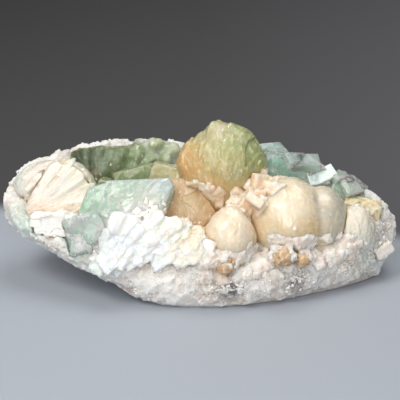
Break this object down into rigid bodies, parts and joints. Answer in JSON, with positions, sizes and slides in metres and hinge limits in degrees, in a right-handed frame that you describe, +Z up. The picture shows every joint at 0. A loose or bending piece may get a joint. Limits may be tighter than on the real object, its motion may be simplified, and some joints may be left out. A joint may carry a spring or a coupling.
{
  "type": "apophyllite cluster",
  "caption": "Boat-shaped mineral specimen: pale matrix carrying peach and pearly stilbite domes and sheaves with blocky green and clear apophyllite crystals.",
  "frame": {"origin": "on the surface it stands on, under the middle of the whole specimen", "axes": "+X along the length towards the thick rounded end, +Y away from the crystal side, +Z up"},
  "size_m": [0.2, 0.0992, 0.0805],
  "materials": {
    "matrix_rock": "matte",
    "peach_stilbite": "satin",
    "pearl_stilbite": "satin",
    "honey_stilbite": "satin",
    "white_crystal": "satin",
    "green_apophyllite": "gloss",
    "clear_apophyllite": "gloss",
    "moss_druse": "satin"
  },
  "bodies": {
    "root": {"matrix": "matrix_rock", "stilbite_ball": "peach_stilbite", "stilbite_domes": "peach_stilbite", "front_dome": "peach_stilbite", "left_dome": "pearl_stilbite", "pearl_fan": "pearl_stilbite", "shoulder_dome": "pearl_stilbite", "cream_sheaf": "pearl_stilbite", "white_sheaf": "white_crystal", "white_plate": "white_crystal", "white_block": "white_crystal", "white_cube": "white_crystal", "tip_crystal": "white_crystal", "peach_blocks": "peach_stilbite", "orange_bud_left": "honey_stilbite", "orange_bud_middle": "honey_stilbite", "orange_bud_right": "honey_stilbite", "honey_crystal": "honey_stilbite", "honey_side_block": "honey_stilbite", "green_apophyllite": "green_apophyllite", "green_side_block": "green_apophyllite", "yellow_block": "green_apophyllite", "grey_apophyllite": "clear_apophyllite", "clear_apophyllite": "clear_apophyllite", "clear_wedge": "clear_apophyllite", "back_blocks": "clear_apophyllite", "hollow_block": "green_apophyllite", "hollow_crust": "moss_druse"}
  },
  "joints": []
}
